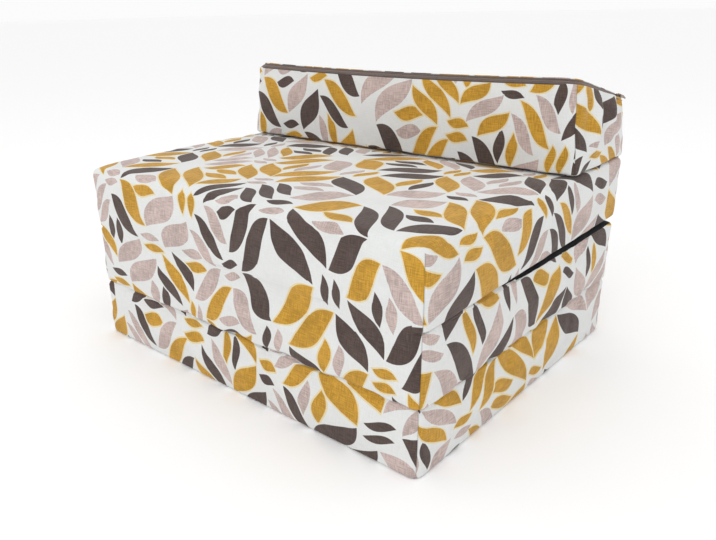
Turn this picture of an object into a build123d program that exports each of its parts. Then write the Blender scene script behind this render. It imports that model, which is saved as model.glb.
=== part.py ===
from build123d import *
from math import atan, cos, degrees, pi, sin, sqrt
import os

os.makedirs("parts", exist_ok=True)

# A fold-out chair bed: three equal foam pads and a foam wedge, each in a zipped
# fabric cover, joined by sewn hinges. Folded, the pads lie in a stack with the
# wedge on top as a headrest. Millimetres, X across, front at -Y, floor at Z = 0.

# Driving sizes of the pads, measured over their covers
pad_width = 700
pad_depth = 600
pad_thickness = 100
corner_radius = 16
top_edge_radius = 12
underside_edge_radius = 9
side_bulge = 3
side_draw = 2
seat_crown = 4.5
hidden_crown = 1.5
corner_drop = 1.5

# Headrest wedge, lower at the back and narrower at the top
headrest_depth = 200
headrest_front_height = 145
headrest_back_height = 96
headrest_lean = 10
headrest_front_bow = 3
headrest_corner_radius = 34
headrest_crown = 4
crown_reach = 36
crown_margin = 3
crown_sink = 1
zip_land = 10.5

# Sewn hinges. The seat springs open a little towards the back, by degrees
hinge_gap = 5
hinge_stand_off = 3
seat_tilt = 1.1
hinge_strip_reach = 17
hinge_strip_sink = 2.2
hinge_strip_depth = 9
hinge_strip_proud = 1.4
hinge_strip_margin = 8

# Cover cloth, and how far cutting tools run over
cover_thickness = 1.2
overrun = 10

# Zip fasteners, one in the left end of each pad and one round the headrest's top
pad_zip_margin = 40
zip_window = 12.4
tape_width = 24
tape_thickness = 1
coil_width = 5
coil_thickness = 2.4
coil_edge_radius = 0.6
stop_length = 4
top_stop_width = 1.6
stop_height = 3.6
headrest_zip_tail = 20
relief_width = 12.6
relief_clearance = 0.9

# Slider of a zip, with the bridge that holds its puller
slider_length = 12
slider_nose_width = 10
slider_tail_width = 8.4
slider_height = 6.4
slider_corner_radius = 1.8
slider_clearance = 0.4
bridge_length = 6.4
bridge_width = 1.8
bridge_height = 3.4
bridge_wall = 1.1
bridge_radius = 1.6
post_length = 3.6
post_width = 2.4

# Puller, a flat tab on a round bar that passes under the bridge
puller_length = 26
puller_width = 7
puller_thickness = 1.4
puller_tip_radius = 2.6
puller_bar_radius = 0.8
eye_length = 4.8
eye_width = 2.8
grip_hole_radius = 1.5
grip_hole_inset = 5

# Depths of the zip's layers below the cover's outer face
zip_middle = cover_thickness + tape_thickness / 2
tape_back = cover_thickness + tape_thickness
relief_depth = zip_middle + slider_height / 2 + relief_clearance
bridge_opening = bridge_height - bridge_wall
pad_zip_length = pad_depth - 2 * pad_zip_margin

# Slope of the headrest's top
headrest_fall = headrest_front_height - headrest_back_height
headrest_slope = atan(headrest_fall / headrest_depth)

# What a skin takes off a flattened edge, as a share of the skin's thickness
land_share = 2 - sqrt(2)


def shifted(plane, x=0, y=0, z=0):
    """The same plane with its origin moved within it."""
    origin = plane.from_local_coords(Vector(x, y, z))
    return Plane(origin, x_dir=plane.x_dir, z_dir=plane.z_dir)


# Where each pad lies: the middle of its underside
base_plane = Plane.XY
middle_plane = Plane.XY.offset(pad_thickness + hinge_gap)
front_hinge_plane = Plane(
    (0, -pad_depth / 2 - hinge_stand_off, 2 * pad_thickness + 1.5 * hinge_gap)
).rotated((seat_tilt, 0, 0))
seat_plane = shifted(
    front_hinge_plane, y=pad_depth / 2 + hinge_stand_off, z=hinge_gap / 2
)

# The headrest's plane has its origin in the middle of the wedge's lower front edge
headrest_plane = shifted(
    seat_plane, y=pad_depth / 2 - headrest_depth, z=pad_thickness + hinge_gap
)


def outline(width, depth, bow_front, bow_end, front_radius, back_radius):
    """A rounded rectangle whose sides bow out, or are drawn in if a bow is negative."""
    across, along = width / 2, depth / 2
    corners = [(-across, -along), (across, -along), (across, along), (-across, along)]
    middles = [
        (0, -along - bow_front),
        (across + bow_end, 0),
        (0, along + bow_front),
        (-across - bow_end, 0),
    ]
    with BuildSketch() as shape:
        with BuildLine():
            for index, bow in enumerate((bow_front, bow_end) * 2):
                start, end = corners[index], corners[(index + 1) % len(corners)]
                if bow:
                    ThreePointArc(start, middles[index], end)
                else:
                    Line(start, end)
        make_face()
        fillet(shape.vertices().group_by(Axis.Y)[0], front_radius)
        fillet(shape.vertices().group_by(Axis.Y)[-1], back_radius)
    return shape.sketch


def crown_block(plane, height, crown):
    """A block with a crowned top, which cuts the top face of a pad."""
    across, along = pad_width / 2 + overrun, pad_depth / 2 + overrun
    with BuildPart() as block:
        for place, rise in ((-along, 0), (0, crown), (along, 0)):
            level = shifted(plane, y=place, z=height)
            with BuildSketch(Plane(level.origin, x_dir=level.x_dir, z_dir=-level.y_dir)):
                with BuildLine():
                    top = ThreePointArc(
                        (-across, -corner_drop), (0, rise), (across, -corner_drop)
                    )
                    Polyline(top @ 1, (across, -2 * height), (-across, -2 * height), top @ 0)
                make_face()
        loft()
    return block.part


def pad_form(plane, crown, skin=0):
    """A pad's form, with a skin taken off all round for what lies inside the cover."""
    width, depth = pad_width - 2 * skin, pad_depth - 2 * skin
    radius = corner_radius - skin
    top = pad_thickness - skin
    sections = (
        (skin, side_bulge, -side_draw),
        (pad_thickness / 2, 0, 0),
        (top + crown, side_bulge, -side_draw),
    )
    upward = Axis(plane.origin, plane.z_dir)
    with BuildPart() as form:
        for level, inset, bow in sections:
            with BuildSketch(plane.offset(level)):
                add(outline(width - 2 * inset, depth - 2 * inset, bow, bow, radius, radius))
        loft()
        add(crown_block(plane, top, crown), mode=Mode.INTERSECT)
        top_face = faces().sort_by(upward)[-1]
        fillet(top_face.outer_wire().edges(), top_edge_radius - skin)
        underside_face = faces().sort_by(upward)[0]
        fillet(underside_face.outer_wire().edges(), underside_edge_radius - skin)
    return form.part


def headrest_level(share, skin=0):
    """A plane across the wedge, from its underside at 0 to its sloping top at 1."""
    slope = atan(share * headrest_fall / headrest_depth)
    rise = share * headrest_front_height + (1 - 2 * share) * skin
    level = shifted(headrest_plane, z=rise).rotated((-degrees(slope), 0, 0))
    return level, headrest_depth / cos(slope)


def headrest_form(skin=0):
    """The wedge, with a skin taken off all round. Its top edge is flattened for a zip."""
    land = zip_land - land_share * skin
    top_level, top_depth = headrest_level(1, skin)
    sections = (
        (0, 0, -side_draw, corner_radius),
        (1 / 2, headrest_lean / 2, headrest_front_bow, corner_radius),
        (1, headrest_lean, 0, headrest_corner_radius),
    )
    with BuildPart() as form:
        for share, inset, bow, radius in sections:
            level, depth = headrest_level(share, skin)
            width = pad_width - 2 * (inset + skin)
            with BuildSketch(shifted(level, y=depth / 2)):
                add(outline(width, depth - 2 * skin, bow, 0, radius - skin, corner_radius - skin))
        loft()
        top_face = faces().sort_by(Axis(top_level.origin, top_level.z_dir))[-1]
        chamfer(top_face.outer_wire().edges(), land)
        underside_face = faces().sort_by(Axis(headrest_plane.origin, headrest_plane.z_dir))[0]
        fillet(underside_face.outer_wire().edges(), underside_edge_radius - skin)
    with BuildPart() as crown:
        edge = skin + land + crown_margin
        radius = headrest_corner_radius - edge
        for inset, rise in (
            (edge, -crown_sink),
            (edge + crown_reach / 2, headrest_crown * 3 / 4),
            (edge + crown_reach, headrest_crown),
        ):
            width = pad_width - 2 * (headrest_lean + inset)
            with BuildSketch(shifted(top_level, y=top_depth / 2, z=rise)):
                add(outline(width, top_depth - 2 * inset, 0, 0, radius, radius))
        loft()
    return form.part + crown.part


def pad_zip_plane(plane):
    """On a pad's left end: X along the zip to its closed end at the front, Z outward."""
    level = shifted(plane, x=-pad_width / 2, z=pad_thickness / 2)
    return Plane(level.origin, x_dir=-level.y_dir, z_dir=-level.x_dir)


def pad_zip_route(plane, from_start=0, from_end=0):
    """The line of a pad's zip, shortened at its ends."""
    half = pad_zip_length / 2
    with BuildLine(pad_zip_plane(plane)) as route:
        Line((-half + from_start, 0), (half - from_end, 0))
    return route.wire()


# The headrest's zip lies on the flattened edge: from the left end round the corner,
# along the front, round the right corner and along the right end to the back. The
# ends lean in towards the top, so the flattened edge faces half their lean further up
headrest_zip_plane = shifted(headrest_level(1)[0], z=-zip_land / 2)
end_lean = atan(2 * headrest_lean / (headrest_front_height + headrest_back_height))
front_zip_inset = zip_land * (1 + sin(headrest_slope)) / 2
end_zip_inset = zip_land * (1 - sin(end_lean)) / 2
zip_bend_radius = headrest_corner_radius - end_zip_inset
end_zip_across = pad_width / 2 - headrest_lean - end_zip_inset
end_zip_back = headrest_depth / cos(headrest_slope) - corner_radius
facing = pi / 4 + end_lean / 2
sideways, upwards = headrest_zip_plane.x_dir * cos(facing), headrest_zip_plane.z_dir * sin(facing)
across_from_end = upwards + sideways
across_from_start = upwards - sideways


def headrest_zip_route(from_start=0, from_end=0):
    """The line of the headrest's zip, shortened at its ends."""
    bend_start = front_zip_inset + zip_bend_radius
    with BuildLine(headrest_zip_plane) as route:
        left = Line(
            (-end_zip_across, bend_start + headrest_zip_tail - from_start),
            (-end_zip_across, bend_start),
        )
        left_bend = JernArc(left @ 1, left % 1, zip_bend_radius, 90)
        front = Line(left_bend @ 1, (end_zip_across - zip_bend_radius, front_zip_inset))
        right_bend = JernArc(front @ 1, front % 1, zip_bend_radius, 90)
        Line(right_bend @ 1, (end_zip_across, end_zip_back - from_end))
    return route.wire()


def ribbon(route, outward, width, outer, inner, edge_radius=0):
    """A strip along a zip's route, between two depths below the cover's face."""
    along = route % 0
    start = Plane(route @ 0, x_dir=outward.cross(along), z_dir=along)
    with BuildPart() as strip:
        with BuildSketch(shifted(start, y=-(outer + inner) / 2)) as profile:
            Rectangle(width, inner - outer)
            if edge_radius:
                fillet(profile.vertices(), edge_radius)
        sweep(path=route)
    return strip.part


def write(shape, name):
    shape.label = name
    export_step(shape, f"parts/{name}.step")


def make_cover(name, panel, form, core, window, seam):
    """The cover of one pad, and the panel that is sewn or zipped to it at the seam."""
    with BuildPart() as shell:
        add(form)
        add(core, mode=Mode.SUBTRACT)
        add(window, mode=Mode.SUBTRACT)
    for piece, side in ((f"{name}_cover", Keep.TOP), (f"{name}_{panel}", Keep.BOTTOM)):
        with BuildPart() as cloth:
            add(shell.part)
            split(bisect_by=seam, keep=side)
        write(cloth.part, piece)


def make_foam(name, core, tape_band, relief):
    """The foam, with a shallow groove behind the zip for the slider."""
    with BuildPart() as foam:
        add(core)
        add(tape_band, mode=Mode.SUBTRACT)
        add(relief, mode=Mode.SUBTRACT)
    write(foam.part, f"{name}_foam")


def make_zip(name, tape_band, route_of, outward, outward_at_end):
    """Tapes, coil, stops, slider and puller of one zip, closed to the route's end."""
    route = route_of()
    gap = ribbon(route, outward, coil_width, -overrun, relief_depth)
    with BuildPart() as tapes:
        add(tape_band)
        add(gap, mode=Mode.SUBTRACT)
    write(tapes.part, f"{name}_zip_tape")

    slider_from_end = stop_length + slider_clearance + slider_length / 2
    coil = ribbon(
        route_of(stop_length, slider_from_end),
        outward,
        coil_width,
        zip_middle - coil_thickness / 2,
        zip_middle + coil_thickness / 2,
        coil_edge_radius,
    )
    write(coil, f"{name}_zip_coil")

    first, last = route % 0, route % 1
    first_end = Plane(route @ 0, x_dir=outward.cross(first), z_dir=first)
    last_end = Plane(route @ 1, x_dir=outward_at_end.cross(last), z_dir=last)
    with BuildPart() as stops:
        with BuildSketch(shifted(first_end, y=-zip_middle)):
            Rectangle(coil_width, stop_height)
        extrude(amount=stop_length)
        with BuildSketch(shifted(last_end, y=-zip_middle)):
            with GridLocations(coil_width - top_stop_width, 0, 2, 1):
                Rectangle(top_stop_width, stop_height)
        extrude(amount=-stop_length)
    write(stops.part, f"{name}_zip_stops")

    closed_end = Plane(route @ 1, x_dir=last, z_dir=outward_at_end)
    parked = shifted(closed_end, x=-slider_from_end)
    make_slider(name, parked)
    make_puller(name, parked)


def make_slider(name, parked):
    """Two plates joined by a post between the tapes, with a bridge for the puller."""
    body = shifted(parked, z=-zip_middle)
    tail, nose = slider_tail_width / 2, slider_nose_width / 2
    half = slider_length / 2
    with BuildPart() as slider:
        with BuildSketch(body) as plate:
            with BuildLine():
                Polyline((-half, -tail), (half, -nose), (half, nose), (-half, tail), close=True)
            make_face()
            fillet(plate.vertices(), slider_corner_radius)
        extrude(amount=slider_height / 2, both=True)
        with BuildSketch(Plane(body.origin, x_dir=body.y_dir, z_dir=body.x_dir)):
            Rectangle(2 * slider_nose_width, tape_thickness + 2 * slider_clearance)
            Rectangle(coil_width + 2 * slider_clearance, coil_thickness + 2 * slider_clearance)
        extrude(amount=slider_length, both=True, mode=Mode.SUBTRACT)
        with BuildSketch(shifted(body, x=half - post_length)):
            SlotOverall(post_length, post_width)
        extrude(amount=slider_height / 2, both=True)
        top = shifted(body, z=slider_height / 2)
        with BuildSketch(Plane(top.origin, x_dir=top.x_dir, z_dir=-top.y_dir)) as arch:
            with Locations((0, bridge_height / 2)):
                Rectangle(bridge_length, bridge_height)
            fillet(arch.vertices().group_by(Axis.Y)[-1], bridge_radius)
            with Locations((0, bridge_opening / 2)):
                Rectangle(bridge_length - 2 * bridge_wall, bridge_opening, mode=Mode.SUBTRACT)
        extrude(amount=bridge_width / 2, both=True)
    write(slider.part, f"{name}_zip_slider")


def puller_pivot(parked):
    """The middle of the puller's bar, under the slider's bridge."""
    return shifted(parked, z=slider_height / 2 - zip_middle + bridge_opening / 2)


def make_puller(name, parked):
    """A flat tab with an eye round the bridge and a hole to grip it by."""
    pivot = puller_pivot(parked)
    with BuildPart() as puller:
        with BuildSketch(pivot) as tab:
            with Locations((puller_length / 2, 0)):
                Rectangle(puller_length, puller_width)
            fillet(tab.vertices().group_by(Axis.X)[-1], puller_tip_radius)
            with Locations((eye_length / 2, 0)):
                Rectangle(eye_length, eye_width, mode=Mode.SUBTRACT)
            with Locations((puller_length - grip_hole_inset, 0)):
                Circle(grip_hole_radius, mode=Mode.SUBTRACT)
        extrude(amount=puller_thickness / 2, both=True)
        with BuildSketch(Plane(pivot.origin, x_dir=pivot.x_dir, z_dir=pivot.y_dir)):
            Circle(puller_bar_radius)
        extrude(amount=puller_width / 2, both=True)
    write(puller.part, f"{name}_zip_puller")


def make_hinge_strip(name, section, lower, upper):
    """The cloth that crosses a hinge: it fills the notch between two pads' edges."""
    with BuildPart() as strip:
        with BuildSketch(section):
            with BuildLine():
                outer = ThreePointArc(
                    (-hinge_strip_sink, -hinge_strip_reach),
                    (hinge_strip_proud, 0),
                    (-hinge_strip_sink, hinge_strip_reach),
                )
                ThreePointArc(outer @ 1, (-hinge_strip_depth, 0), outer @ 0)
            make_face()
        extrude(amount=pad_width / 2 - corner_radius - hinge_strip_margin, both=True)
        add(lower, mode=Mode.SUBTRACT)
        add(upper, mode=Mode.SUBTRACT)
    write(strip.part, name)


def underside_seam(plane):
    """Where a plain panel is sewn in under a pad."""
    return plane.offset(cover_thickness)


def upper_seam(plane):
    """Where a plain panel is sewn in on top, as seen while the pads are folded."""
    level = plane.offset(pad_thickness - corner_drop - cover_thickness)
    return Plane(level.origin, x_dir=-level.x_dir, z_dir=-level.z_dir)


# The three pads, from the floor up. The sides that lie under the open bed are plain:
# the middle pad turns over as the bed opens, so its plain side is the upper one here
pad_forms = {}
for name, plane, crown, seam_of in (
    ("base", base_plane, hidden_crown, underside_seam),
    ("middle", middle_plane, hidden_crown, upper_seam),
    ("seat", seat_plane, seat_crown, underside_seam),
):

    def route_of(from_start=0, from_end=0):
        return pad_zip_route(plane, from_start, from_end)

    form = pad_form(plane, crown)
    core = pad_form(plane, crown, cover_thickness)
    deeper = pad_form(plane, crown, tape_back)
    outward = -plane.x_dir
    route = route_of()
    with BuildPart() as band:
        add(ribbon(route, outward, tape_width, -overrun, relief_depth))
        add(core, mode=Mode.INTERSECT)
        add(deeper, mode=Mode.SUBTRACT)
    window = ribbon(route, outward, zip_window, -overrun, relief_depth)
    relief = ribbon(route, outward, relief_width, -overrun, relief_depth)
    make_cover(name, "underside", form, core, window, seam_of(plane))
    make_foam(name, core, band.part, relief)
    make_zip(name, band.part, route_of, outward, outward)
    pad_forms[name] = form

# The headrest wedge
form = headrest_form()
core = headrest_form(cover_thickness)
route = headrest_zip_route()
with BuildPart() as band:
    add(ribbon(route, across_from_start, tape_width, -overrun, relief_depth))
    add(core, mode=Mode.INTERSECT)
    add(headrest_form(tape_back), mode=Mode.SUBTRACT)
window = ribbon(route, across_from_start, zip_window, -overrun, relief_depth)
relief = ribbon(route, across_from_start, relief_width, -overrun, relief_depth)
flap_seam = Plane(
    headrest_zip_plane.origin,
    x_dir=-headrest_zip_plane.x_dir,
    z_dir=-headrest_zip_plane.z_dir,
)
make_cover("headrest", "top_flap", form, core, window, flap_seam)
make_foam("headrest", core, band.part, relief)
make_zip("headrest", band.part, headrest_zip_route, across_from_start, across_from_end)
pad_forms["headrest"] = form

# Sewn hinges: at the rear between base and middle, at the front between middle and
# seat, and at the back of the seat's top for the headrest
rear_section = Plane(
    (0, pad_depth / 2, pad_thickness + hinge_gap / 2), x_dir=(0, 1, 0), z_dir=(1, 0, 0)
)
make_hinge_strip("rear_hinge_strip", rear_section, pad_forms["base"], pad_forms["middle"])
front_section = Plane(
    (0, -pad_depth / 2, front_hinge_plane.origin.Z), x_dir=(0, -1, 0), z_dir=(-1, 0, 0)
)
make_hinge_strip("front_hinge_strip", front_section, pad_forms["middle"], pad_forms["seat"])
top_edge = shifted(seat_plane, y=pad_depth / 2, z=pad_thickness + hinge_gap / 2)
top_section = Plane(top_edge.origin, x_dir=top_edge.y_dir, z_dir=top_edge.x_dir)
make_hinge_strip(
    "headrest_hinge_strip", top_section, pad_forms["seat"], pad_forms["headrest"]
)
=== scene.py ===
from math import atan, cos, exp, pi, radians, sin, sqrt

import bpy
import numpy as np
from mathutils import Matrix, Vector
from mathutils.bvhtree import BVHTree
from mathutils.noise import noise as noise_at


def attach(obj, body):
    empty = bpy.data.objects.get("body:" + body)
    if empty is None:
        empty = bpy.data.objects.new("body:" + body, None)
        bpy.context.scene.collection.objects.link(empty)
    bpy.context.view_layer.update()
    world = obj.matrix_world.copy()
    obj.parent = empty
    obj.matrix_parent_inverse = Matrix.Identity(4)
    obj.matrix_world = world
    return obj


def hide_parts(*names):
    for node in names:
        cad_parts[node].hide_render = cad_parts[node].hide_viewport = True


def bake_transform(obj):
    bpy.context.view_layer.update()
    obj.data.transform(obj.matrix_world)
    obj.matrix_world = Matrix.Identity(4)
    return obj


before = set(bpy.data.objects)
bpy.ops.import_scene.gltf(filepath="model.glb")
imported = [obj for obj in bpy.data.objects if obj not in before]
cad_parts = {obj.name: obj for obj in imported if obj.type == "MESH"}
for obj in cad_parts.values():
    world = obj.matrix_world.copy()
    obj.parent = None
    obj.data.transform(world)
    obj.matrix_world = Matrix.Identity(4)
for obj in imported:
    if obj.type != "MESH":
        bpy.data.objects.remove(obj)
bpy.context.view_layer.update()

# Printed cotton-linen cloth
# One bolt of slub linen printed with leaves makes all the covers. The cloth's own
# coordinates, in metres, are kept on every cover, so the print runs on over an edge.

thread_pitch = 0.0011
slub_along, slub_across = 60, 900
ground_white = (0.70, 0.71, 0.70, 1)
leaf_yellow = (0.52, 0.28, 0.032, 1)
leaf_brown = (0.086, 0.059, 0.051, 1)
leaf_blush = (0.53, 0.42, 0.39, 1)
yellow_rim = (0.72, 0.60, 0.34, 1)
brown_below, yellow_above = 0.29, 0.64
ink_edge = 0.0004
rim_outer, rim_inner = -0.0031, -0.0019
rim_strength = 0.9

# The print's cell and drift are in metres, the leaves' sizes in cells. Long leaves lie in pairs
# or threes within a cell, short ones in pairs at the knots between four cells. Of the values in
# brackets the first is for a pair or a tight knot, the second for threes or a free knot.
leaf_cell = 0.096
print_drift, drift_scale = 0.10, 3.6
share_of_pairs = 0.76
pair_offset, threes_pitch = 0.205, 0.285
long_half_length, cell_reach = 0.477, 0.682
long_half_widths = (0.178, 0.122)
long_curl, short_curl = 0.65, 0.6
share_of_knots = 0.88
short_offsets = (0.104, 0.128)
short_half_lengths = (0.222, 0.285)
short_half_widths = (0.076, 0.102)
short_clearances = (0.010, 0.034)


def put(tree, kind, inputs, **settings):
    """A node with its settings and inputs; an input is a value or another node's socket."""
    node = tree.nodes.new(kind)
    for name, value in settings.items():
        setattr(node, name, value)
    for socket, value in inputs.items():
        if isinstance(value, bpy.types.NodeSocket):
            tree.links.new(value, node.inputs[socket])
        else:
            node.inputs[socket].default_value = value
    return node


def reckon(tree, operation, *values):
    """A Math node's result."""
    return put(tree, "ShaderNodeMath", dict(enumerate(values)), operation=operation).outputs[0]


def scaled(tree, vector, factors):
    """A vector times fixed factors along each axis."""
    node = put(tree, "ShaderNodeVectorMath", {0: vector, 1: factors}, operation="MULTIPLY")
    return node.outputs[0]


def noise(tree, vector, scale, detail=2.0, out="Fac"):
    """A Noise Texture's result."""
    inputs = {"Vector": vector, "Scale": scale, "Detail": detail}
    return put(tree, "ShaderNodeTexNoise", inputs).outputs[out]


def between(tree, value, low, high, to_low=0.0, to_high=1.0):
    """A value brought from one range to another, with soft ends."""
    inputs = {"Value": value, "From Min": low, "From Max": high, "To Min": to_low, "To Max": to_high}
    node = put(tree, "ShaderNodeMapRange", inputs, interpolation_type="SMOOTHSTEP")
    return node.outputs[0]


def blended(tree, share, first, second, blend="MIX"):
    """Two colours mixed by a share."""
    node = tree.nodes.new("ShaderNodeMix")
    node.data_type, node.blend_type = "RGBA", blend
    for index, value in ((0, share), (6, first), (7, second)):
        if isinstance(value, bpy.types.NodeSocket):
            tree.links.new(value, node.inputs[index])
        else:
            node.inputs[index].default_value = value
    return node.outputs[2]


def start_group(name, inputs, outputs):
    """An empty node group with its sockets, and its input and output nodes."""
    group = bpy.data.node_groups.new(name, "ShaderNodeTree")
    for sockets, side in ((inputs, "INPUT"), (outputs, "OUTPUT")):
        for socket, kind in sockets.items():
            group.interface.new_socket(name=socket, in_out=side, socket_type=f"NodeSocket{kind}")
    return group, group.nodes.new("NodeGroupInput").outputs, group.nodes.new("NodeGroupOutput").inputs


def make_linen_weave():
    """Plain weave with thick and thin threads: Slub shades the colour, Height lifts it."""
    group, given, result = start_group(
        "linen_weave",
        {"Cloth": "Vector", "Pitch": "Float"},
        {"Slub": "Float", "Height": "Float"},
    )
    across = noise(group, scaled(group, given["Cloth"], (slub_across, slub_along, 1)), 1.0, 3.0)
    along = noise(group, scaled(group, given["Cloth"], (slub_along, slub_across, 1)), 1.0, 3.0)
    cloudy = noise(group, given["Cloth"], 22.0, 2.0)
    slub = reckon(group, "ADD", across, along)
    slub = reckon(group, "MULTIPLY_ADD", cloudy, 0.5, slub)
    group.links.new(between(group, slub, 0.95, 1.55), result["Slub"])
    parts = put(group, "ShaderNodeSeparateXYZ", {0: given["Cloth"]}).outputs
    turns = reckon(group, "DIVIDE", pi, given["Pitch"])
    over = reckon(group, "SINE", reckon(group, "MULTIPLY", parts[0], turns))
    under = reckon(group, "SINE", reckon(group, "MULTIPLY", parts[1], turns))
    crossed = reckon(group, "MULTIPLY", over, under)
    height = reckon(group, "MULTIPLY_ADD", crossed, 0.25, reckon(group, "MULTIPLY", slub, 0.8))
    group.links.new(height, result["Height"])
    return group


def leaf_depth(group, along, across, half_length, half_width, curl):
    """How deep a point lies in a leaf whose edges bend in an S, in cells; below 0 outside."""
    x = reckon(group, "DIVIDE", along, half_length)
    y = reckon(group, "DIVIDE", across, half_width)
    taper = reckon(group, "SUBTRACT", 1.0, reckon(group, "MULTIPLY", x, x))
    bend = reckon(group, "MULTIPLY", reckon(group, "MULTIPLY", x, taper), curl)
    beside = reckon(group, "ABSOLUTE", reckon(group, "SUBTRACT", y, bend))
    return reckon(group, "MULTIPLY", reckon(group, "SUBTRACT", taper, beside), half_width)


def chance_at(group, *values):
    """A fixed random number for a place."""
    place = put(group, "ShaderNodeCombineXYZ", dict(enumerate(values))).outputs[0]
    return put(group, "ShaderNodeTexWhiteNoise", {"Vector": place}).outputs["Value"]


def either(group, share, first, second):
    """The first value at share 0 and the second at share 1."""
    change = reckon(group, "SUBTRACT", second, first)
    return reckon(group, "MULTIPLY_ADD", share, change, first)


def make_leaf_print():
    """Leaves in pairs and threes, which lean one way and the other from cell to cell, and
    pairs of short leaves in the gaps that they leave."""
    group, given, result = start_group(
        "leaf_print", {"Cloth": "Vector", "Cell": "Float"}, {"Color": "Color", "Ink": "Float"}
    )
    wander = noise(group, given["Cloth"], drift_scale, 0.0, "Color")
    wander = put(
        group, "ShaderNodeVectorMath", {0: wander, 1: (0.5, 0.5, 0.5)}, operation="SUBTRACT"
    ).outputs[0]
    wander = scaled(group, wander, (print_drift, print_drift, 0))
    moved = put(
        group, "ShaderNodeVectorMath", {0: wander, 1: given["Cloth"]}, operation="ADD"
    ).outputs[0]
    parts = put(group, "ShaderNodeSeparateXYZ", {0: moved}).outputs
    steps = [reckon(group, "DIVIDE", parts[i], given["Cell"]) for i in (0, 1)]

    cells = [reckon(group, "FLOOR", step) for step in steps]
    places = [reckon(group, "SUBTRACT", reckon(group, "FRACT", step), 0.5) for step in steps]
    odd = reckon(group, "FLOORED_MODULO", reckon(group, "ADD", *cells), 2.0)
    mirrored = reckon(group, "MULTIPLY", places[0], reckon(group, "MULTIPLY_ADD", odd, -2.0, 1.0))
    along = reckon(group, "MULTIPLY", reckon(group, "ADD", mirrored, places[1]), sqrt(0.5))
    across = reckon(group, "MULTIPLY", reckon(group, "SUBTRACT", places[1], mirrored), sqrt(0.5))
    threes = reckon(group, "GREATER_THAN", chance_at(group, *cells, 7.0), share_of_pairs)
    side = reckon(group, "MULTIPLY", reckon(group, "SIGN", across), pair_offset)
    row = reckon(group, "ROUND", reckon(group, "DIVIDE", across, threes_pitch))
    row = reckon(group, "MINIMUM", reckon(group, "MAXIMUM", row, -1.0), 1.0)
    middle = either(group, threes, side, reckon(group, "MULTIPLY", row, threes_pitch))
    reach = reckon(group, "SUBTRACT", cell_reach, reckon(group, "ABSOLUTE", middle))
    turned = reckon(group, "GREATER_THAN", chance_at(group, *cells, 3.0), 0.5)
    long_depth = leaf_depth(
        group,
        along,
        reckon(group, "SUBTRACT", across, middle),
        reckon(group, "MINIMUM", reach, long_half_length),
        either(group, threes, *long_half_widths),
        either(group, turned, -long_curl, long_curl),
    )
    long_pick = chance_at(group, *cells, middle)

    knots = [reckon(group, "ROUND", step) for step in steps]
    offsets = [reckon(group, "SUBTRACT", step, knot) for step, knot in zip(steps, knots)]
    free = reckon(group, "FLOORED_MODULO", reckon(group, "ADD", *knots), 2.0)
    upright = reckon(group, "GREATER_THAN", chance_at(group, *knots, 11.0), 0.5)
    lengthwise = either(group, upright, *offsets)
    sideways = either(group, upright, *offsets[::-1])
    half = reckon(group, "SIGN", sideways)
    half = reckon(group, "MULTIPLY", half, either(group, free, *short_offsets))
    short_depth = leaf_depth(
        group,
        lengthwise,
        reckon(group, "SUBTRACT", sideways, half),
        either(group, free, *short_half_lengths),
        either(group, free, *short_half_widths),
        short_curl,
    )
    bare = reckon(group, "GREATER_THAN", chance_at(group, *knots, 5.0), share_of_knots)
    short_depth = either(group, bare, short_depth, -1.0)
    clearance = either(group, free, *short_clearances)
    room = reckon(group, "SUBTRACT", reckon(group, "MULTIPLY", long_depth, -1.0), clearance)
    short_depth = reckon(group, "MINIMUM", short_depth, room)
    short_pick = chance_at(group, *knots, half)

    short = reckon(group, "GREATER_THAN", short_depth, long_depth)
    pick = either(group, short, long_pick, short_pick)
    depth = reckon(group, "MULTIPLY", reckon(group, "MAXIMUM", short_depth, long_depth), given["Cell"])
    ink = between(group, depth, -ink_edge, ink_edge)
    rim = between(group, depth, rim_outer, rim_inner)
    brown = reckon(group, "LESS_THAN", pick, brown_below)
    yellow = reckon(group, "GREATER_THAN", pick, yellow_above)
    colour = blended(group, brown, leaf_blush, leaf_brown)
    colour = blended(group, yellow, colour, leaf_yellow)
    rim_share = reckon(group, "MULTIPLY", reckon(group, "MULTIPLY", rim, yellow), rim_strength)
    ground = blended(group, rim_share, ground_white, yellow_rim)
    group.links.new(blended(group, ink, ground, colour), result["Color"])
    group.links.new(ink, result["Ink"])
    return group


def start_material(name):
    """A new material, its node tree and its surface shader's inputs."""
    material = bpy.data.materials.new(name)
    material.use_nodes = True
    tree = material.node_tree
    return material, tree, tree.nodes["Principled BSDF"].inputs


def woven(tree, pitch):
    """The cloth's coordinates, and the weave's outputs for threads at a pitch."""
    cloth = put(tree, "ShaderNodeUVMap", {}, uv_map="cloth").outputs[0]
    weave = put(tree, "ShaderNodeGroup", {}, node_tree=linen_weave)
    tree.links.new(cloth, weave.inputs["Cloth"])
    weave.inputs["Pitch"].default_value = pitch
    return cloth, weave.outputs


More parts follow.
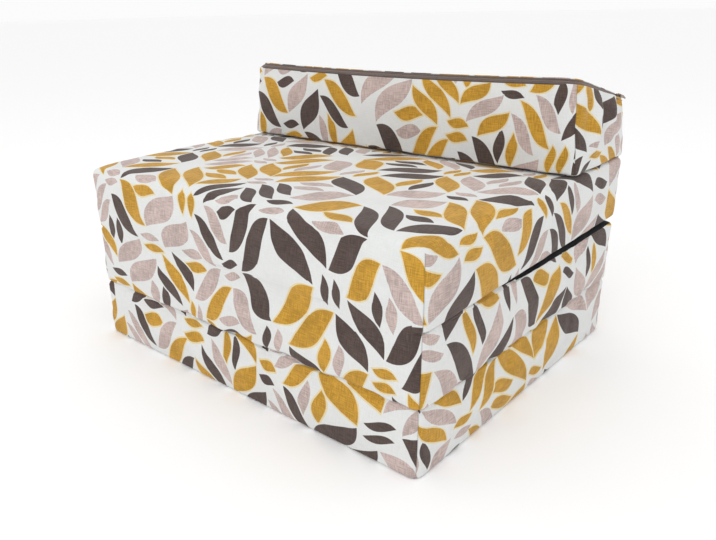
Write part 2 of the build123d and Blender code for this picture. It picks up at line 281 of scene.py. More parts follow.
def make_printed_cloth():
    """The covers' cloth: print, slub, weave, and painted shade that darkens its colour along its seams.
    """
    material, tree, surface = start_material("printed_cloth")
    surface["Sheen Weight"].default_value = 0.12
    surface["Sheen Roughness"].default_value = 0.5
    surface["Specular IOR Level"].default_value = 0.25
    cloth, weave = woven(tree, thread_pitch)
    seam = put(tree, "ShaderNodeUVMap", {}, uv_map="seam").outputs[0]
    leaves = put(tree, "ShaderNodeGroup", {}, node_tree=leaf_print)
    tree.links.new(cloth, leaves.inputs["Cloth"])
    leaves.inputs["Cell"].default_value = leaf_cell
    inked = between(tree, weave["Slub"], 0, 1, 0.72, 1.14)
    bare = between(tree, weave["Slub"], 0, 1, 0.955, 1.02)
    worn = either(tree, leaves.outputs["Ink"], bare, inked)
    shade = blended(tree, 1.0, leaves.outputs["Color"], worn, "MULTIPLY")
    beside = put(tree, "ShaderNodeSeparateXYZ", {0: seam}).outputs[0]
    # Painted shade: the colour is darkened to 0.72 within about 3 mm of a seam, where shade falls in the
    # seam's crease.
    painted_seam_shade = between(tree, beside, 0.0004, 0.0028, 0.72, 1.0)
    tree.links.new(blended(tree, 1.0, shade, painted_seam_shade, "MULTIPLY"), surface["Base Color"])
    tree.links.new(between(tree, weave["Slub"], 0, 1, 0.95, 0.8), surface["Roughness"])
    ripple = noise(tree, scaled(tree, cloth, (90, 90, 1)), 1.0, 1.0)
    ripple = reckon(tree, "MULTIPLY", ripple, between(tree, beside, 0.0, 0.028, 1.0, 0.0))
    lift = reckon(tree, "MULTIPLY_ADD", ripple, 6.0, weave["Height"])
    bump = put(tree, "ShaderNodeBump", {"Strength": 0.5, "Distance": 0.00035, "Height": lift})
    tree.links.new(bump.outputs[0], surface["Normal"])
    return material


linen_weave = make_linen_weave()
leaf_print = make_leaf_print()
printed_cloth = make_printed_cloth()

# The three pads
# Each pad is a foam block in a box-shaped cover. The top and its four sides are cut in one
# and sewn at the corners. A plain black panel closes the side that lies under the open bed:
# the underside of the base and of the seat, and the upper side of the middle pad.

pad_width, pad_depth, pad_height = 0.700, 0.600, 0.100
pad_gap = 0.005
hinge_stand_off = 0.003
seat_tilt = radians(1.1)
headrest_depth = 0.200
headrest_line = pad_depth / 2 - headrest_depth
corner_radius = 0.016
seat_edge_radius = 0.010
base_edge_radius = 0.008
folded_edge_radius = 0.005
grid_step = 0.0125
unevenness = 0.00025
tolerance = 0.0001
far_from_seam = 0.1

# The print runs on round a rim, and the plain panel starts further in towards the front
turned_rim = 0.022
plain_dark = (0.007, 0.007, 0.008, 1)
plain_inset = 0.0025
front_plain_inset = 0.016
inset_growth, inset_lag = 3, 0.15
plain_edge_lines = (0.0075, 0.010, 0.013)

# How far the foam fills out a cover, and how near its seams the cloth holds still
pad_swell = 0.0021
pad_reach = 0.005
seam_hold = 0.012
corner_hold, corner_share, corner_weight = 0.02, 0.3, 0.9
headrest_hold = 0.01
crown_start, crown_fade = 0.008, 0.06

# The groove that each pad's zip lies in
pad_zip_length = 0.520
zip_groove_margin = 0.002
zip_groove_half = 0.0062
zip_groove_floor = 0.0046
zip_groove_depth = 0.0036

# Depths of the small gathers at the corner seams and at each pad's rims, by level
gather_pitch = 0.026
gather_fade = 0.014
corner_gathers = 0.003
rim_gathers = {
    "base": [(pad_height, 0.0052)],
    "middle": [(0, 0.0042), (pad_height, 0.0008)],
    "seat": [(0, 0.0008), (pad_height, 0.0016)],
}

front_hinge = Vector((0, -pad_depth / 2 - hinge_stand_off, 2 * pad_height + 1.5 * pad_gap))
pad_places = {
    "base": Matrix.Identity(4),
    "middle": Matrix.Translation((0, 0, pad_height + pad_gap)),
    "seat": Matrix.Translation(front_hinge)
    @ Matrix.Rotation(seat_tilt, 4, "X")
    @ Matrix.Translation((0, pad_depth / 2 + hinge_stand_off, pad_gap / 2)),
}


def grid_lines(low, high, marks, step=grid_step):
    """Places of a grid's lines: all the marks, and even steps between them."""
    stops = sorted({low, high, *marks})
    lines = [stops[0]]
    for start, end in zip(stops, stops[1:]):
        count = max(1, round((end - start) / step))
        lines += [start + (end - start) * (i + 1) / count for i in range(count)]
    return np.array(lines)


def edge_marks(half, distances):
    """Places at distances in from both ends of a line."""
    return [sign * (half - d) for sign in (-1, 1) for d in distances]


def box_grid(xs, ys, zs):
    """Points on the six sides of a box, its faces, and the side that each face is on."""
    shape = (len(xs), len(ys), len(zs))
    ids = -np.ones(shape, int)
    index = np.argwhere(
        np.logical_or.reduce(
            [(grid == 0) | (grid == size - 1) for grid, size in zip(np.indices(shape), shape)]
        )
    )
    ids[tuple(index.T)] = np.arange(len(index))
    points = np.column_stack([axis[index[:, i]] for i, axis in enumerate((xs, ys, zs))])
    faces, sides = [], []
    for side, axis, end, flip in (
        ("top", 2, -1, False),
        ("underside", 2, 0, True),
        ("front", 1, 0, False),
        ("back", 1, -1, True),
        ("right", 0, -1, False),
        ("left", 0, 0, True),
    ):
        sheet = ids.take(end, axis=axis)
        quads = np.stack([sheet[:-1, :-1], sheet[1:, :-1], sheet[1:, 1:], sheet[:-1, 1:]], -1)
        quads = quads.reshape(-1, 4)
        faces.append(quads[:, ::-1] if flip else quads)
        sides += [side] * len(quads)
    return points, np.concatenate(faces), np.array(sides)


def unfold(points, faces, sides, size, fall, shift, turned=("underside",)):
    """Cloth coordinates of each face's corners: the sides folded out flat round the top, and
    the rims of turned sides folded out on from them."""
    half_x, half_y, height = size[0] / 2, size[1] / 2, size[2]
    corner = points[faces]
    x, y, z = corner[..., 0], corner[..., 1], corner[..., 2]
    down = height - z + fall
    cloth = np.stack([x + shift[0], y + shift[1]], -1)
    seam = np.full_like(cloth, far_from_seam)
    seam[..., 1] = z
    insets = {"front": half_y + y, "back": half_y - y, "right": half_x - x, "left": half_x + x}
    nearest = np.min([inset.mean(axis=1) for inset in insets.values()], axis=0)
    tuck = 2 * (sides == "underside")[:, None]
    for side, u, v, beside in (
        ("front", x, y - down - tuck * insets["front"], half_x - abs(x)),
        ("back", x, y + down + tuck * insets["back"], half_x - abs(x)),
        ("right", x + down + tuck * insets["right"], y, half_y - abs(y)),
        ("left", x - down - tuck * insets["left"], y, half_y - abs(y)),
    ):
        own = insets[side].mean(axis=1)
        on = (sides == side) | np.isin(sides, turned) & (own <= nearest) & (own < turned_rim)
        beside = np.minimum(beside, z + insets[side])
        cloth[on, :, 0], cloth[on, :, 1], seam[on, :, 0] = u[on], v[on], beside[on]
    return cloth, seam


def rounded(points, size, corner, top_edge, underside_edge, flat_edge=False, groove=0):
    """A sharp box's points moved on to the same box with rounded corners and edges. A flat
    top edge may have a groove."""
    half = np.array(size[:2]) / 2
    plan, z = points[:, :2], points[:, 2]
    corner = np.broadcast_to(corner, z.shape)[:, None]
    centre = np.clip(plan, corner - half, half - corner)
    over = plan - centre
    reach, length = abs(over).max(axis=1), np.hypot(*over.T)
    outward = over / np.where(length > 0, length, 1)[:, None]
    inset = corner[:, 0] - reach
    for edge, level, flat in (
        (top_edge, lambda h: size[2] - h, flat_edge),
        (underside_edge, lambda h: h, False),
    ):
        depth = level(z)
        on = (inset < edge) & (depth < edge)
        way = (1 - inset[on] / edge + depth[on] / edge) / 2
        inset, z = inset.copy(), z.copy()
        across = 1 - way if flat else 1 - np.sin(way * pi / 2)
        fall = way if flat else 1 - np.cos(way * pi / 2)
        inset[on], z[on] = edge * across, level(edge * fall)
        if flat:
            inset, z = inset + groove * sqrt(0.5), z - groove * sqrt(0.5)
    return np.column_stack([centre + outward * (corner - inset[:, None]), z])


def cloth_mesh(name, points, faces, cloth, seam, materials, material_of, place):
    """A mesh with cloth coordinates, smooth, in its place."""
    mesh = bpy.data.meshes.new(name)
    mesh.from_pydata(points.tolist(), [], faces.tolist())
    for layer, values in (("cloth", cloth), ("seam", seam)):
        mesh.uv_layers.new(name=layer).data.foreach_set("uv", values.reshape(-1).astype("f"))
    for material in materials:
        mesh.materials.append(material)
    mesh.polygons.foreach_set("material_index", material_of)
    mesh.polygons.foreach_set("use_smooth", np.ones(len(faces), bool))
    mesh.transform(place)
    mesh.update()
    piece = bpy.data.objects.new(name, mesh)
    bpy.context.scene.collection.objects.link(piece)
    return piece


def points_of(mesh):
    """The places of a mesh's vertices."""
    flat = np.empty(3 * len(mesh.vertices), "f")
    mesh.vertices.foreach_get("co", flat)
    return flat.reshape(-1, 3).astype(float)


def normals_of(mesh):
    """The way out of the cloth at a mesh's vertices."""
    flat = np.empty(3 * len(mesh.vertices), "f")
    mesh.vertices.foreach_get("normal", flat)
    return flat.reshape(-1, 3)


def swell(piece, held, reach, slack=-0.012, pressure=4.0, frames=20):
    """The cover is blown out by its foam: a cloth simulation, kept within a reach. Only its
    movement out of the surface is used, so that the print isn't dragged about."""
    start, outward = points_of(piece.data), normals_of(piece.data)
    group = piece.vertex_groups.new(name="held")
    for level in np.unique(held):
        group.add(np.flatnonzero(held == level).tolist(), float(level), "REPLACE")
    cloth = piece.modifiers.new("swell", "CLOTH")
    cloth.settings.quality = 5
    cloth.settings.mass = 0.25
    cloth.settings.tension_stiffness = cloth.settings.compression_stiffness = 18
    cloth.settings.shear_stiffness = 8
    cloth.settings.bending_stiffness = 0.6
    cloth.settings.vertex_group_mass = "held"
    cloth.settings.shrink_min = slack
    cloth.settings.use_pressure = True
    cloth.settings.uniform_pressure_force = pressure
    cloth.settings.effector_weights.gravity = 0
    cloth.collision_settings.use_collision = False
    cloth.point_cache.frame_end = frames
    for number in range(1, frames + 1):
        bpy.context.scene.frame_set(number)
    graph = bpy.context.evaluated_depsgraph_get()
    blown = points_of(piece.evaluated_get(graph).data)
    piece.modifiers.clear()
    piece.vertex_groups.clear()
    bpy.context.scene.frame_set(1)
    rise = np.einsum("ij,ij->i", blown - start, outward)
    moved = outward * (reach * np.tanh(rise / np.array(reach)))[:, None]
    piece.data.vertices.foreach_set("co", (start + moved).reshape(-1).astype("f"))
    piece.data.update()


def smooth_once(piece):
    """One subdivision, made part of the mesh."""
    smooth = piece.modifiers.new("smooth", "SUBSURF")
    smooth.levels = 1
    smooth.uv_smooth = "PRESERVE_BOUNDARIES"
    graph = bpy.context.evaluated_depsgraph_get()
    made = bpy.data.meshes.new_from_object(piece.evaluated_get(graph), depsgraph=graph)
    piece.modifiers.clear()
    piece.data = made


def pucker(piece, place, depth_at):
    """Small gathers in the cloth, as deep as depth_at gives for points on the piece. Nothing
    goes below the floor."""
    mesh = piece.data
    back = np.array(place.inverted())
    points = points_of(mesh)
    local = points @ back[:3, :3].T + back[:3, 3]
    gather = np.array([noise_at(Vector(p * (1 / gather_pitch))) for p in local])
    moved = gather * depth_at(local)
    points += normals_of(mesh) * moved[:, None]
    points[:, 2] = np.maximum(points[:, 2], 0)
    mesh.vertices.foreach_set("co", points.reshape(-1).astype("f"))
    mesh.update()


def gathers(points, ends, seams):
    """How deep the cloth gathers by a block's corner seams and by its rims, fading into the
    panels. Ends are the distances to the block's sides, seams pairs of a level and a depth."""
    side = np.clip(np.minimum(*ends), 0, None)
    depth = corner_gathers * np.exp(-np.hypot(*ends) / gather_fade)
    for level, deepest in seams:
        rim = np.hypot(side, points[:, 2] - level)
        depth = np.maximum(depth, deepest * np.exp(-rim / gather_fade))
    return depth


def make_plain_weave(name, colour, pitch, shades, roughness, sheen, gloss):
    """Cloth or tape of one colour, shaded and dulled by its slubs."""
    material, tree, surface = start_material(name)
    surface["Sheen Weight"].default_value = sheen
    surface["Specular IOR Level"].default_value = gloss
    cloth, weave = woven(tree, pitch)
    shade = between(tree, weave["Slub"], 0, 1, *shades)
    tree.links.new(blended(tree, 1.0, colour, shade, "MULTIPLY"), surface["Base Color"])
    tree.links.new(between(tree, weave["Slub"], 0, 1, *roughness), surface["Roughness"])
    inputs = {"Strength": 0.5, "Distance": 0.0003, "Height": weave["Height"]}
    tree.links.new(put(tree, "ShaderNodeBump", inputs).outputs[0], surface["Normal"])
    return material


underside_cloth = make_plain_weave(
    "underside_cloth", plain_dark, thread_pitch, (0.7, 1.3), (0.95, 0.85), 0.05, 0.15
)

rng = np.random.default_rng(12)
pad_pieces = {}
for pad, crown, edge, fall, shift in (
    ("base", 0.0012, base_edge_radius, 0.730, (1.93, 0.71)),
    ("middle", 0.0012, folded_edge_radius, pad_height + pad_gap, (0.35, 1.52)),
    ("seat", 0.0042, seat_edge_radius, 0.0, (0.0, 0.0)),
):
    size = (pad_width, pad_depth, pad_height)
    edge_lines = [share * edge for share in (0.25, 0.5, 0.75, 1)]
    near_edge = (*edge_lines, *plain_edge_lines, corner_radius)
    zip_marks = [
        pad_height / 2 + sign * half for sign in (-1, 1) for half in (zip_groove_floor, zip_groove_half)
    ]
    xs = grid_lines(-pad_width / 2, pad_width / 2, edge_marks(pad_width / 2, near_edge))
    ys = grid_lines(-pad_depth / 2, pad_depth / 2, edge_marks(pad_depth / 2, near_edge))
    low_marks = (folded_edge_radius / 2, folded_edge_radius)
    high_marks = [pad_height - edge + share * edge for share in (0, 0.25, 0.5, 0.75)]
    zs = grid_lines(0, pad_height, [*low_marks, *zip_marks, *high_marks])
    points, faces, sides = box_grid(xs, ys, zs)
    turned = ("underside",) if pad == "seat" else ("underside", "top")
    cloth, seam = unfold(points, faces, sides, size, fall, shift, turned)

    x, y, z = points.T
    formed = rounded(points, size, corner_radius, edge, folded_edge_radius)
    rise = z / pad_height
    crowned = np.clip(1 - (2 * points[:, :2] / size[:2]) ** 2, 0, 1).prod(axis=1) ** 0.5
    if pad == "seat":
        crowned *= np.clip((headrest_line - crown_start - y) / crown_fade, 0, 1) ** 0.7
    filled = (rise - 0.5) * 2 * pad_swell
    if pad == "base":
        filled *= rise
    formed[:, 2] += rise * crown * crowned + filled
    formed[:, 2] = np.maximum(formed[:, 2], 0 if pad == "base" else -pad_swell)
    on_left, from_zip = x < -pad_width / 2 + tolerance, abs(z - pad_height / 2)
    in_groove = on_left & (from_zip < (zip_groove_floor + zip_groove_half) / 2)
    in_groove &= abs(y) < pad_zip_length / 2 + zip_groove_margin
    formed[in_groove, 0] += zip_groove_depth

    near_corner = np.clip(1 - (pad_width / 2 - abs(x)) / corner_hold, 0, 1)
    near_corner *= np.clip(1 - (pad_depth / 2 - abs(y)) / corner_hold, 0, 1)
    fixed = (z < seam_hold) | on_left & (from_zip < seam_hold)
    if pad == "seat":
        fixed |= (y > headrest_line - headrest_hold) & (z > pad_height - tolerance)
    held = np.where(fixed, 1.0, np.where(near_corner > corner_share, corner_weight, 0.0))
    formed += rng.normal(0, unevenness, formed.shape) * (held < 0.5)[:, None]

    forward = np.clip(-y / pad_depth * inset_growth - inset_lag, 0, 1)
    past_panel = np.maximum(abs(x) - pad_width / 2, abs(y) - pad_depth / 2)
    past_panel += plain_inset + (front_plain_inset - plain_inset) * forward
    plain = sides == ("top" if pad == "middle" else "underside")
    plain &= (past_panel[faces] < tolerance).all(axis=1)
    cover = cloth_mesh(
        f"{pad}_pad",
        formed,
        faces,
        cloth,
        seam,
        [printed_cloth, underside_cloth],
        plain.astype(int),
        pad_places[pad],
    )
    swell(cover, held, pad_reach)
    smooth_once(cover)
    pucker(
        cover,
        pad_places[pad],
        lambda local: gathers(
            local, (pad_width / 2 - abs(local[:, 0]), pad_depth / 2 - abs(local[:, 1])), rim_gathers[pad]
        ),
    )
    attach(cover, pad)
    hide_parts(f"{pad}_foam", f"{pad}_cover", f"{pad}_underside")
    pad_pieces[pad] = cover

# Headrest
# A foam wedge in the same cloth, lower at the back and a little narrower at the top. Its top
# is a flap that zips to the rest along a flattened edge. Its lower back edge is sewn to the
# seat's.

headrest_front, headrest_back = 0.145, 0.096
headrest_lean = 0.010
headrest_top_corner = 0.034
zip_land = 0.0105
headrest_sag = 0.005
front_bow = 0.003
land_lines = (0, 0.4, 0.76, 0.84, 1)
top_corner_lines = (0.016, 0.022, 0.028, headrest_top_corner)
land_groove, groove_share = 0.0034, 0.41
groove_back_end, groove_left_end = 0.017, 0.055
zip_hold = 0.016
flap_crown, flap_crown_fade = 0.002, 0.04
flap_hold = 0.7
flap_reach, headrest_reach = 0.0018, 0.006
lower_rim_gathers = 0.002
headrest_place = pad_places["seat"] @ Matrix.Translation((0, headrest_line, pad_height + pad_gap))

# Each panel is cut from its own place on the bolt
panel_shifts = {
    "front": (0.05, 1.17),
    "right": (0.31, 0.22),
    "left": (0.31, 0.22),
    "back": (0.4, 0.9),
}

# Folds in the ends: where each lies from the front, its slant, its width and its height
end_fold_lines = (
    (0.036, -0.010, 0.009, -0.0055),
    (0.060, 0.034, 0.011, 0.0080),
    (0.088, 0.026, 0.010, -0.0070),
    (0.120, 0.044, 0.013, 0.0075),
    (0.152, 0.030, 0.011, -0.0050),
)
end_folds_depth = 0.014
folds_above, folds_over = 0.12, 0.68
folds_behind, folds_fade = 0.012, 0.02


def wedge(points):
    """Points of a straight block moved on to the headrest's slopes; y runs from the front."""
    x, y, z = points.T
    share = z / headrest_front
    along = (y + headrest_depth / 2) / headrest_depth
    top = headrest_front + (headrest_back - headrest_front) * along
    inward = np.clip(1 - (2 * x / pad_width) ** 2, 0, 1)
    sag = headrest_sag * inward * share**2
    lean = headrest_lean * share * x / (pad_width / 2)
    bow = front_bow * np.sin(pi * np.clip(share, 0, 1)) * inward
    depth = y + headrest_depth / 2 - bow * (1 - along)
    return np.column_stack([x - lean, depth, z * top / headrest_front - sag])


size = (pad_width, headrest_depth, headrest_front)
land_marks = [zip_land * share for share in land_lines]
corner_marks = [*land_marks, *top_corner_lines]
low_marks = (folded_edge_radius / 2, folded_edge_radius)
xs = grid_lines(-pad_width / 2, pad_width / 2, edge_marks(pad_width / 2, corner_marks))
ys = grid_lines(-headrest_depth / 2, headrest_depth / 2, edge_marks(headrest_depth / 2, corner_marks))
zs = grid_lines(0, headrest_front, [*low_marks, *(headrest_front - mark for mark in land_marks)])
points, faces, sides = box_grid(xs, ys, zs)
cloth, seam = unfold(points, faces, sides, size, 0, (0.62, 0.43))
for side, shift in panel_shifts.items():
    cloth[sides == side] += shift

x, y, z = points.T
top_depth = headrest_front - z
on_top = top_depth < tolerance
sides_inset = pad_width / 2 - abs(x)
front_inset, back_inset = headrest_depth / 2 + y, headrest_depth / 2 - y
inset = np.minimum(sides_inset, np.minimum(front_inset, back_inset))
way = np.clip((1 - inset / zip_land + top_depth / zip_land) / 2, 0, 1)
on_land = (top_depth < zip_land) & (inset < zip_land) & (abs(way - 0.5) < groove_share)
along_zip = (x > 0) & (back_inset > groove_back_end) | (front_inset < groove_left_end)
groove = land_groove * (on_land & along_zip & ((back_inset > zip_land) | (sides_inset < zip_land)))
corner = corner_radius + (headrest_top_corner - corner_radius) * (z / headrest_front) ** 2
formed = wedge(rounded(points, size, corner, zip_land, folded_edge_radius, True, groove))
crowned = np.clip(inset - zip_land, 0, flap_crown_fade) / flap_crown_fade
formed[:, 2] += flap_crown * np.sin(crowned * pi / 2) * on_top
fixed = (top_depth < zip_hold) & (inset < zip_hold) | (z < seam_hold)
held = np.where(fixed, 1.0, flap_hold * on_top)
formed += rng.normal(0, unevenness, formed.shape) * (held < 0.5)[:, None]
headrest = cloth_mesh(
    "headrest_pad",
    formed,
    faces,
    cloth,
    seam,
    [printed_cloth, underside_cloth],
    np.zeros(len(faces), int),
    headrest_place,
)
swell(headrest, held, np.where(on_top, flap_reach, headrest_reach))
smooth_once(headrest)


def end_folds(piece):
    """Upright folds in the loose cloth of both ends, deepest below the zip."""
    back = headrest_place.inverted()
    for vertex in piece.data.vertices:
        x, y, z = back @ vertex.co
        if abs(x) < pad_width / 2 - end_folds_depth:
            continue
        level = z / headrest_front
        strength = sin(pi * min(1, max(0, (level - folds_above) / folds_over)))
        strength *= min(1, max(0, (y - folds_behind) / folds_fade))
        wave = 0
        for middle, slant, width, height in end_fold_lines:
            away = (y - middle - slant * (level - 0.5)) / width
            wave += height * exp(-away * away)
        vertex.co.x += strength * wave * (1 if x > 0 else -1)
    piece.data.update()


end_folds(headrest)
pucker(
    headrest,
    headrest_place,
    lambda local: gathers(
        local,
        (pad_width / 2 - abs(local[:, 0]), headrest_depth / 2 - abs(local[:, 1] - headrest_depth / 2)),
        [(0, lower_rim_gathers)],
    ),
)
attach(headrest, "headrest")
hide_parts("headrest_foam", "headrest_cover", "headrest_top_flap")

# Sewn hinges
# Where two pads fold on each other, a strip of the covers' cloth crosses the joint. At the
# front it is one panel with the covers of seat and middle pad; it pinches in at its ends.

strip_half = 0.036
strip_bridge = 0.017
strip_ends = 0.007
strip_step = 0.008

# A strip stands proud of the pads, clears their bulges and tucks in along its rims. It dips
# into the notch, deeper near its ends, where it's also pulled in.
strip_proud = 0.0005
strip_clear = 0.0004
strip_tuck = 0.0022
notch_half = 0.004
end_dip, end_dip_from, end_dip_over = 0.0015, 0.07, 0.06
end_pull, end_pull_from, end_pull_over = 0.0018, 0.016, 0.008

top_of_seat = 2 * (pad_height + pad_gap) + pad_height
headrest_joint = pad_places["seat"] @ Vector((0, pad_depth / 2, pad_height + pad_gap / 2))

solids = {
    piece.name.removesuffix("_pad"): BVHTree.FromPolygons(
        [vertex.co for vertex in piece.data.vertices], [face.vertices for face in piece.data.polygons]
    )
    for piece in (*pad_pieces.values(), headrest)
}


def hinge_strip(name, below, above, height, facing, dip):
    """A strip that lies on both pads and bridges the notch between them."""

    def pad_at(x, row):
        """How far forward or back the pads' cloth lies behind a point of the strip."""
        start = Vector((x, facing, height + row))
        hits = [solids[pad].ray_cast(start, Vector((0, -facing, 0)))[0] for pad in (below, above)]
        return min((hit for hit in hits if hit is not None), key=lambda hit: (hit - start).length).y

    xs = grid_lines(strip_ends - pad_width / 2, pad_width / 2 - strip_ends, (), strip_step)
    bridge = np.linspace(-strip_bridge, strip_bridge, 9)
    tail = np.linspace(strip_bridge, strip_half, 5)[1:]
    rows = np.concatenate([-tail[::-1], bridge, tail])
    points = np.empty((len(xs), len(rows), 3))
    for i, x in enumerate(xs):
        past_end = abs(x) - pad_width / 2
        dipped = dip + end_dip * np.clip((past_end + end_dip_from) / end_dip_over, 0, 1) ** 2
        pulled = end_pull * np.clip((past_end + end_pull_from) / end_pull_over, 0, 1) ** 2
        shore = [pad_at(x, row) for row in (-strip_bridge, strip_bridge)]
        for j, row in enumerate(rows):
            if abs(row) <= strip_bridge:
                share = (row / strip_bridge + 1) / 2
                y = shore[0] + (shore[1] - shore[0]) * share
                fold = cos(pi * row / strip_bridge / 2) ** 2
                y -= facing * (dipped * fold - strip_proud)
                if abs(row) > notch_half:
                    y = facing * max(facing * y, facing * pad_at(x, row) + strip_clear)
            else:
                past = (abs(row) - strip_bridge) / (strip_half - strip_bridge)
                y = pad_at(x, row) + facing * (strip_proud - strip_tuck * past**2)
            points[i, j] = x, y - facing * pulled, height + row
    ids = np.arange(points.size // 3).reshape(points.shape[:2])
    faces = np.stack([ids[:-1, :-1], ids[1:, :-1], ids[1:, 1:], ids[:-1, 1:]], -1).reshape(-1, 4)
    points = points.reshape(-1, 3)
    if facing > 0:
        faces = faces[:, ::-1]
    corner = points[faces]
    around = facing * (top_of_seat - corner[..., 2] + pad_depth / 2)
    cloth = np.stack([corner[..., 0], around], -1)
    seam = np.full_like(cloth, far_from_seam)
    plain = np.zeros(len(faces), int)
    strip = cloth_mesh(
        f"{name}_cloth", points, faces, cloth, seam, [printed_cloth], plain, Matrix.Identity(4)
    )
    smooth_once(strip)
    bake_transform(strip)
    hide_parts(f"{name}_strip")


hinge_strip("front_hinge", "middle", "seat", front_hinge.z, -1, 0.0012)
hinge_strip("rear_hinge", "base", "middle", pad_height + pad_gap / 2, 1, 0.002)
hinge_strip("headrest_hinge", "seat", "headrest", headrest_joint.z, 1, 0.002)

# Zips
# Each cover closes with a coil zip: two woven tapes, a nylon coil of small hooks, and a
# metal slider with its puller. The pads' zips lie in their left ends, the headrest's
# runs round its top edge from the left end to the back of the right one.

tape_brown = (0.092, 0.064, 0.054, 1)
coil_brown = (0.20, 0.145, 0.125, 1)
metal_bronze = (0.20, 0.15, 0.11, 1)
headrest_zip_tail = 0.020
tape_pitch = 0.0007
tape_step = 0.006
hook_pitch = 0.0016
hook_start = 0.0024
hook_depth = 0.001275
hook_half_width, hook_half_height = 0.00062, 0.00095
hook_stations = ((-0.0001, 0.4), (0.0001, 1.0), (0.0016, 0.9), (0.0023, 1.15), (0.0027, 0.55))
stop_length = 0.004
slider_length = 0.012
tape_profile = (
    (-0.0070, -0.0022),
    (-0.0066, -0.0006),
    (-0.0060, -0.0003),
    (-0.0034, -0.0005),
    (-0.0027, -0.0010),
    (-0.0024, -0.0030),
)


def walk(start, heading, legs, step):
    """Points and headings at even steps along straight legs and bends in a plane."""
    total = sum(length for length, _ in legs)
    count = max(2, round(total / step) + 1)
    spots, ways = [], []
    for distance in np.linspace(0, total, count):
        place, angle = np.array(start, float), heading
        left = distance
        for length, turn in legs:
            part = min(left, length)
            if turn:
                radius = length / turn
                angle_to = angle + part / radius
                place += radius * np.array([sin(angle_to) - sin(angle), cos(angle) - cos(angle_to)])
                angle = angle_to
            else:
                place += part * np.array([cos(angle), sin(angle)])
            left -= part
            if left <= 0:
                break
        spots.append(place)
        ways.append((cos(angle), sin(angle)))
    return np.array(spots), np.array(ways)


def zip_line(place, start, heading, legs, facing, step, sag=0.0):
    """Along a zip: its points, its directions, the way out of the cover, and across."""
    spots, ways = walk(start, heading, legs, step)
    across = np.column_stack([ways[:, 1], -ways[:, 0], np.zeros(len(ways))])
    upward = np.array([0, 0, 1.0])
    out = across * cos(facing) + upward * sin(facing)
    points = np.column_stack([spots, -sag * np.clip(1 - (2 * spots[:, 0] / pad_width) ** 2, 0, 1)])
    along = np.gradient(points, axis=0)
    along /= np.linalg.norm(along, axis=1)[:, None]
    turn = np.array(place.to_3x3())
    points = points @ turn.T + np.array(place.translation)
    return points, along @ turn.T, out @ turn.T, np.cross(out @ turn.T, along @ turn.T)


def loose_piece(name, points, faces, material, body):
    """A piece made of its own points, which rides on a body."""
    mesh = bpy.data.meshes.new(name)
    mesh.from_pydata(points.tolist(), [], [tuple(face) for face in faces])
    mesh.materials.append(material)
    mesh.polygons.foreach_set("use_smooth", np.ones(len(faces), bool))
    mesh.update()
    piece = bpy.data.objects.new(name, mesh)
    bpy.context.scene.collection.objects.link(piece)
    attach(piece, body)
    return piece


def make_hard_finish(name, colour, roughness, metallic, wear):
    """A hard finish with fine wear that lightens and dulls it in patches."""
    material, tree, surface = start_material(name)
    surface["Metallic"].default_value = metallic
    where = put(tree, "ShaderNodeTexCoord", {}).outputs["Object"]
    rubbed = noise(tree, where, 900.0, 3.0)
    pale = tuple(min(1, c * wear) for c in colour[:3]) + (1,)
    worn = blended(tree, between(tree, rubbed, 0.45, 0.7), colour, pale)
    dulled = between(tree, rubbed, 0.3, 0.7, roughness + 0.08, roughness - 0.08)
    bump = put(tree, "ShaderNodeBump", {"Strength": 0.2, "Distance": 0.0001, "Height": rubbed})
    tree.links.new(worn, surface["Base Color"])
    tree.links.new(dulled, surface["Roughness"])
    tree.links.new(bump.outputs[0], surface["Normal"])
    return material


tape_cloth = make_plain_weave("zip_tape", tape_brown, tape_pitch, (0.75, 1.15), (0.9, 0.75), 0.2, 0.5)
coil_nylon = make_hard_finish("zip_coil", coil_brown, 0.42, 0.0, 1.25)
zip_metal = make_hard_finish("zip_metal", metal_bronze, 0.38, 1.0, 1.7)


def hook_shape():
    """One hook of the coil: a rounded bar across the zip, with a thicker head."""
    ring = [(cos(a), sin(a)) for a in np.arange(6) * pi / 3 + pi / 6]
    points = [
        (reach, hook_half_width * wide * x, hook_half_height * wide * z)
        for reach, wide in hook_stations
        for x, z in ring
    ]
    faces = []
    for k in range(len(hook_stations) - 1):
        for i in range(6):
            j = (i + 1) % 6
            faces.append((6 * k + i, 6 * k + j, 6 * k + 6 + j, 6 * k + 6 + i))
    faces.append(tuple(range(5, -1, -1)))
    faces.append(tuple(range(6 * (len(hook_stations) - 1), 6 * len(hook_stations))))
    return np.array(points), faces


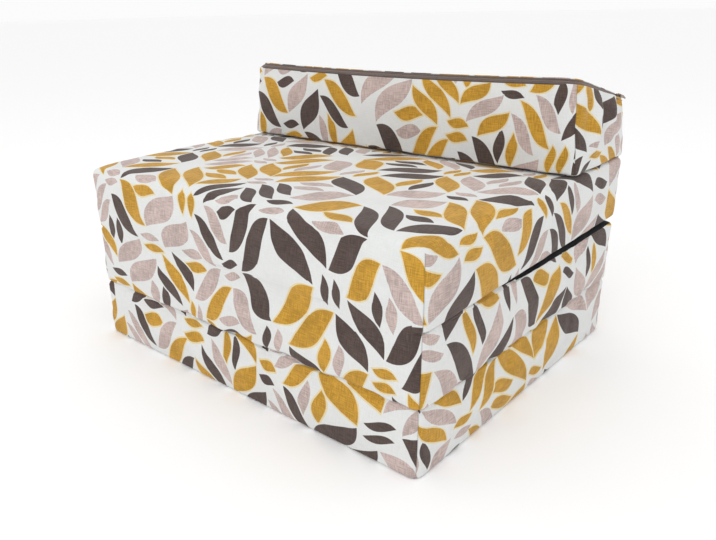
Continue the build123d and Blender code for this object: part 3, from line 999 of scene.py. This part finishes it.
def make_zip(pad, line_of):
    """Tapes and coil of one zip; the CAD's slider, puller and stops get their metal."""
    points, _, out, across = line_of(tape_step)
    sections = [[(-side * w, d) for w, d in tape_profile] for side in (1, -1)]
    verts, faces, cloth = [], [], []
    distance = np.concatenate([[0], np.cumsum(np.linalg.norm(np.diff(points, axis=0), axis=1))])
    for section in sections:
        base = len(verts)
        count = len(section)
        for p, o, a, travelled in zip(points, out, across, distance):
            for wide, deep in section:
                verts.append(p + a * wide + o * deep)
                cloth.append((wide, travelled))
        for i in range(len(points) - 1):
            for j in range(count - 1):
                corner = base + i * count + j
                quad = (corner, corner + 1, corner + count + 1, corner + count)
                faces.append(quad if section[0][0] < 0 else quad[::-1])
    tape = loose_piece(f"{pad}_tapes", np.array(verts), faces, tape_cloth, pad)
    layer = tape.data.uv_layers.new(name="cloth")
    corners = np.array([cloth[i] for face in faces for i in face], "f")
    layer.data.foreach_set("uv", corners.reshape(-1))
    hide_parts(f"{pad}_zip_tape")

    points, along, out, across = line_of(hook_pitch / 2)
    hook, hook_faces = hook_shape()
    first = round(stop_length / hook_pitch * 2)
    last = len(points) - round((stop_length + slider_length / 2) / hook_pitch * 2)
    verts, faces = [], []
    for k in range(first, last):
        side = 1 if k % 2 else -1
        basis = np.stack([across[k] * side * -1, along[k], out[k]])
        start = points[k] + across[k] * side * hook_start - out[k] * hook_depth
        faces += [tuple(len(verts) + i for i in face) for face in hook_faces]
        verts += list(start + hook @ basis)
    coil = loose_piece(f"{pad}_coil", np.array(verts), faces, coil_nylon, pad)
    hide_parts(f"{pad}_zip_coil")
    for part in ("slider", "puller", "stops"):
        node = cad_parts[f"{pad}_zip_{part}"]
        for socket in node.material_slots:
            socket.material = zip_metal


for pad in pad_pieces:
    zip_place = (
        pad_places[pad]
        @ Matrix.Translation((-pad_width / 2, 0, pad_height / 2))
        @ Matrix(((0, 0, -1, 0), (-1, 0, 0, 0), (0, 1, 0, 0), (0, 0, 0, 1)))
    )
    make_zip(
        pad,
        lambda step: zip_line(
            zip_place, (-pad_zip_length / 2, 0), 0, [(pad_zip_length, 0)], pi / 2, step
        ),
    )

headrest_slope = atan((headrest_front - headrest_back) / headrest_depth)
end_lean = atan(2 * headrest_lean / (headrest_front + headrest_back))
zip_front = zip_land * (1 + sin(headrest_slope)) / 2
end_inset = zip_land * (1 - sin(end_lean)) / 2
bend = headrest_top_corner - end_inset
end_across = pad_width / 2 - headrest_lean - end_inset
end_back = headrest_depth / cos(headrest_slope) - corner_radius
land_place = (
    headrest_place
    @ Matrix.Translation((0, 0, headrest_front))
    @ Matrix.Rotation(-headrest_slope, 4, "X")
    @ Matrix.Translation((0, 0, -zip_land / 2))
)
headrest_legs = [
    (headrest_zip_tail, 0),
    (bend * pi / 2, pi / 2),
    (2 * (end_across - bend), 0),
    (bend * pi / 2, pi / 2),
    (end_back - zip_front - bend, 0),
]
make_zip(
    "headrest",
    lambda step: zip_line(
        land_place,
        (-end_across, zip_front + bend + headrest_zip_tail),
        -pi / 2,
        headrest_legs,
        pi / 4 + end_lean / 2,
        step,
        headrest_sag,
    ),
)

# Studio
# A pale floor, even soft light from large panels, and the camera at the height of a
# person who looks down at the chair's front right corner.

floor_half = 60
floor_corners = [(x * floor_half, y * floor_half, 0) for x, y in ((-1, -1), (1, -1), (1, 1), (-1, 1))]
floor_mesh = bpy.data.meshes.new("floor")
floor_mesh.from_pydata(floor_corners, [], [(0, 1, 2, 3)])
floor = bpy.data.objects.new("floor", floor_mesh)
bpy.context.scene.collection.objects.link(floor)
floor_paint, _, paint = start_material("floor_paint")
paint["Base Color"].default_value = (0.97, 0.97, 0.97, 1)
paint["Roughness"].default_value = 0.9
floor_mesh.materials.append(floor_paint)

room = bpy.data.worlds.new("room")
room.use_nodes = True
room.node_tree.nodes["Background"].inputs["Color"].default_value = (1, 1, 1, 1)
room.node_tree.nodes["Background"].inputs["Strength"].default_value = 0.97
bpy.context.scene.world = room


def light_panel(name, place, aim, size, power):
    """A soft light of a given width and height, turned to what it lights."""
    light = bpy.data.lights.new(name, "AREA")
    light.shape, light.size, light.size_y = "RECTANGLE", *size
    light.energy = power
    lamp = bpy.data.objects.new(name, light)
    lamp.location = place
    lamp.rotation_euler = (Vector(aim) - Vector(place)).to_track_quat("-Z", "Y").to_euler()
    bpy.context.scene.collection.objects.link(lamp)


light_panel("panel_front", (0.6, -3.2, 2.4), (0, 0, 0.3), (2.4, 2.4), 22)
light_panel("panel_over", (0.4, -0.2, 3.2), (0, 0, 0.2), (2.6, 2.6), 9)

camera_place = (0.73755, -0.91233, 0.56488)
camera_yaw, camera_pitch, camera_roll = 42.866, 22.087, -1.177
lens = bpy.data.cameras.new("camera")
lens.lens, lens.sensor_width = 34.306, 36
lens.shift_x, lens.shift_y = 0.0685, 0.0216
camera = bpy.data.objects.new("camera", lens)
camera.location = camera_place
camera.rotation_euler = (
    Matrix.Rotation(radians(camera_yaw), 3, "Z")
    @ Matrix.Rotation(radians(90 - camera_pitch), 3, "X")
    @ Matrix.Rotation(radians(camera_roll), 3, "Z")
).to_euler()
bpy.context.scene.collection.objects.link(camera)
bpy.context.scene.camera = camera

bpy.context.scene.view_settings.view_transform = "Standard"
